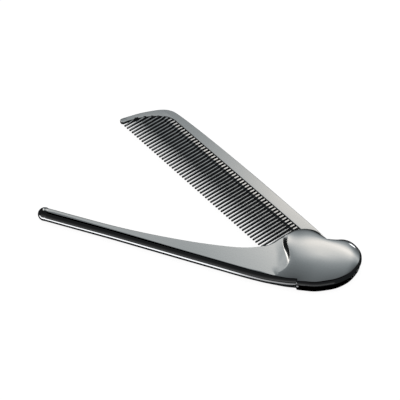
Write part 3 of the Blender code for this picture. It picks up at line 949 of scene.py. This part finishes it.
blade_place = Matrix.Translation((0.0, 0.0, MIDDLE_HEIGHT * MM)) @ Matrix.Rotation(FOLD_ANGLE, 4, "Z")


def arc(radius, start, end, steps):
    """Points round the pin's axis, with angles in degrees."""
    turns = [math.radians(start + (end - start) * i / steps) for i in range(steps + 1)]
    return [(radius * math.cos(turn), radius * math.sin(turn)) for turn in turns]


def spine_mesh():
    """The spine with its round nose and its eye, as a slab with softened edges."""
    curve = bpy.data.curves.new("spine", "CURVE")
    curve.dimensions = "2D"
    curve.fill_mode = "BOTH"
    curve.extrude = (BLADE_THICKNESS / 2 - SPINE_EDGE) * MM
    curve.bevel_depth = SPINE_EDGE * MM
    curve.offset = -SPINE_EDGE * MM
    curve.bevel_resolution = SPINE_EDGE_STEPS
    eye_end = math.degrees(math.asin(SPINE_INNER_Y / EYE_RADIUS))
    outline = (between(NOSE_OUTER, NOSE_FINENESS) + arc(EYE_RADIUS, EYE_START, -180 - eye_end, EYE_STEPS)
               + between(NOSE_INNER, NOSE_FINENESS))
    spline = curve.splines.new("POLY")
    spline.points.add(len(outline) - 1)
    for point, (x, y) in zip(spline.points, outline):
        point.co = (x * MM, y * MM, 0.0, 1.0)
    spline.use_cyclic_u = True
    guide = bpy.data.objects.new("spine_line", curve)
    bpy.context.scene.collection.objects.link(guide)
    evaluated = guide.evaluated_get(bpy.context.evaluated_depsgraph_get())
    mesh = bpy.data.meshes.new_from_object(evaluated)
    bpy.data.objects.remove(guide)
    work = bmesh.new()
    work.from_mesh(mesh)
    bmesh.ops.remove_doubles(work, verts=work.verts, dist=SPINE_MERGE_GAP)
    for vertex in work.verts:
        if vertex.co.x < NOSE_START_X * MM:
            vertex.co.z *= 1 - NOSE_THINNING * ease(0.0, NOSE_DEPTH, NOSE_TOP_Y - vertex.co.y / MM)
    bmesh.ops.recalc_face_normals(work, faces=work.faces)
    work.to_mesh(mesh)
    work.free()
    return mesh


def tooth_section(y, width, thickness, flat, lean):
    """One section of a tooth: a bar whose corners are taken off round the flat."""
    half_x, half_z = width / 2, thickness / 2
    rounding = half_x * (1 - flat)
    side = max(half_z - rounding, 0.0)
    quarter = [(half_x - rounding * (1 - math.cos(turn)), side + (half_z - side) * math.sin(turn))
               for turn in (0.0, math.pi / 4, math.pi / 2)]
    corners = quarter + [(-x, z) for x, z in reversed(quarter)]
    corners += [(-x, -z) for x, z in quarter] + [(x, -z) for x, z in reversed(quarter)]
    leaning = [(x, z - math.copysign(lean * (x + half_x), z)) for x, z in corners]
    return [(x * MM, y * MM, z * MM) for x, z in leaning]


def tooth_row_tree():
    """The nodes that set the teeth along the spine and stop each one just inside it."""
    tree = bpy.data.node_groups.new("tooth_row", "GeometryNodeTree")
    socket(tree, "Geometry", "NodeSocketGeometry", "INPUT")
    socket(tree, "Tooth", "NodeSocketObject", "INPUT")
    socket(tree, "Count", "NodeSocketInt", "INPUT", 2)
    socket(tree, "Pitch", "NodeSocketFloat", "INPUT", 1.0)
    socket(tree, "First Place", "NodeSocketFloat", "INPUT", 0.0)
    socket(tree, "Bed", "NodeSocketFloat", "INPUT", 0.0)
    socket(tree, "Finish", "NodeSocketMaterial", "INPUT")
    socket(tree, "Geometry", "NodeSocketGeometry", "OUTPUT")
    given = tree.nodes.new("NodeGroupInput")
    made = tree.nodes.new("NodeGroupOutput")
    start = tree.nodes.new("ShaderNodeCombineXYZ")
    step = tree.nodes.new("ShaderNodeCombineXYZ")
    tree.links.new(given.outputs["First Place"], start.inputs["X"])
    tree.links.new(given.outputs["Pitch"], step.inputs["X"])
    row = tree.nodes.new("GeometryNodeMeshLine")
    tree.links.new(given.outputs["Count"], row.inputs["Count"])
    tree.links.new(start.outputs["Vector"], row.inputs["Start Location"])
    tree.links.new(step.outputs["Vector"], row.inputs["Offset"])
    pattern = tree.nodes.new("GeometryNodeObjectInfo")
    tree.links.new(given.outputs["Tooth"], pattern.inputs["Object"])
    copies = tree.nodes.new("GeometryNodeInstanceOnPoints")
    tree.links.new(row.outputs["Mesh"], copies.inputs["Points"])
    tree.links.new(pattern.outputs["Geometry"], copies.inputs["Instance"])
    real = tree.nodes.new("GeometryNodeRealizeInstances")
    tree.links.new(copies.outputs["Instances"], real.inputs["Geometry"])
    place = tree.nodes.new("GeometryNodeInputPosition")
    axes = tree.nodes.new("ShaderNodeSeparateXYZ")
    tree.links.new(place.outputs["Position"], axes.inputs["Vector"])
    nose = between(NOSE_INNER, TRIM_FINENESS)[::-1]
    nose_low, nose_high = nose[0][0], nose[-1][0]
    spread = tree.nodes.new("ShaderNodeMapRange")
    spread.inputs["From Min"].default_value = nose_low * MM
    spread.inputs["From Max"].default_value = nose_high * MM
    tree.links.new(axes.outputs["X"], spread.inputs["Value"])
    line = tree.nodes.new("ShaderNodeFloatCurve")
    line.mapping.use_clip = False
    points = line.mapping.curves[0].points
    while len(points) < len(nose):
        points.new(0.5, 0.5)
    drop = TIP_LINE_Y - SPINE_INNER_Y
    for point, (x, y) in zip(points, nose):
        point.location = ((x - nose_low) / (nose_high - nose_low), 1 - (y - SPINE_INNER_Y) / drop)
    line.mapping.update()
    tree.links.new(spread.outputs["Result"], line.inputs["Value"])
    root = math_node(tree, "MULTIPLY_ADD", line.outputs["Value"], -drop * MM, TIP_LINE_Y * MM)
    stop = math_node(tree, "ADD", root, given.outputs["Bed"])
    kept = math_node(tree, "MINIMUM", axes.outputs["Y"], stop)
    joined = tree.nodes.new("ShaderNodeCombineXYZ")
    tree.links.new(axes.outputs["X"], joined.inputs["X"])
    tree.links.new(kept, joined.inputs["Y"])
    tree.links.new(axes.outputs["Z"], joined.inputs["Z"])
    trim = tree.nodes.new("GeometryNodeSetPosition")
    tree.links.new(real.outputs["Geometry"], trim.inputs["Geometry"])
    tree.links.new(joined.outputs["Vector"], trim.inputs["Position"])
    paint = tree.nodes.new("GeometryNodeSetMaterial")
    tree.links.new(trim.outputs["Geometry"], paint.inputs["Geometry"])
    tree.links.new(given.outputs["Finish"], paint.inputs["Material"])
    tree.links.new(paint.outputs["Geometry"], made.inputs["Geometry"])
    return tree


blade_chrome = metal("blade_chrome", colour=(0.42, 0.43, 0.44), rubbed=(0.60, 0.60, 0.60), gloss=0.13,
                     clouds=0.05, mark_direction=(500.0, 500.0, 500.0), mark_depth=0.15, edge_width=0.15)
spine = add_piece("comb_spine", spine_mesh(), blade_chrome)
worked(spine, [
    ("DIFFERENCE", round_mesh("bore", BORE_RADIUS, -BLADE_THICKNESS, BLADE_THICKNESS, HOLE_SIDES)),
], SPINE_SHARP)
spine.data.transform(blade_place)
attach(spine, "comb_blade")
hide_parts("comb_blade")

tooth_mesh = lofted("tooth", [tooth_section(*row) for row in TOOTH_SECTIONS],
                    cap_start=True, cap_end=True)
tooth_mesh.shade_smooth()
tooth_mesh.set_sharp_from_angle(angle=math.radians(TOOTH_SHARP))
tooth_pattern = bpy.data.objects.new("tooth_pattern", tooth_mesh)
bpy.context.scene.collection.objects.link(tooth_pattern)
teeth = bpy.data.objects.new("comb_teeth", bpy.data.meshes.new("comb_teeth"))
bpy.context.scene.collection.objects.link(teeth)
set_out = teeth.modifiers.new("tooth_row", "NODES")
set_out.node_group = tooth_row_tree()
values = {"Tooth": tooth_pattern, "Count": TOOTH_COUNT, "Pitch": TOOTH_PITCH * MM,
          "First Place": FIRST_TOOTH_X * MM, "Bed": TOOTH_BED * MM, "Finish": blade_chrome}
for item in set_out.node_group.interface.items_tree:
    if item.in_out == "INPUT" and item.name in values:
        set_out[item.identifier] = values[item.name]
evaluated = teeth.evaluated_get(bpy.context.evaluated_depsgraph_get())
teeth_mesh = bpy.data.meshes.new_from_object(evaluated)
teeth.modifiers.clear()
teeth.data = teeth_mesh
bpy.data.objects.remove(tooth_pattern)
teeth.data.transform(blade_place)
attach(teeth, "comb_blade")
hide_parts("comb_blade")


# Pin
# A plain steel pin pressed into both plates under the heart; the blade's eye turns on it.
# It is hidden and keeps its plain shape, so it only takes its finish here.
pin_steel = metal("pin_steel", colour=(0.58, 0.58, 0.59), rubbed=(0.66, 0.66, 0.66), gloss=0.24,
                  clouds=0.08, mark_direction=(900.0, 900.0, 60.0), mark_depth=0.4, edge_width=0.1)
for pin_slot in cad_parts["pivot_pin"].material_slots:
    pin_slot.material = pin_steel
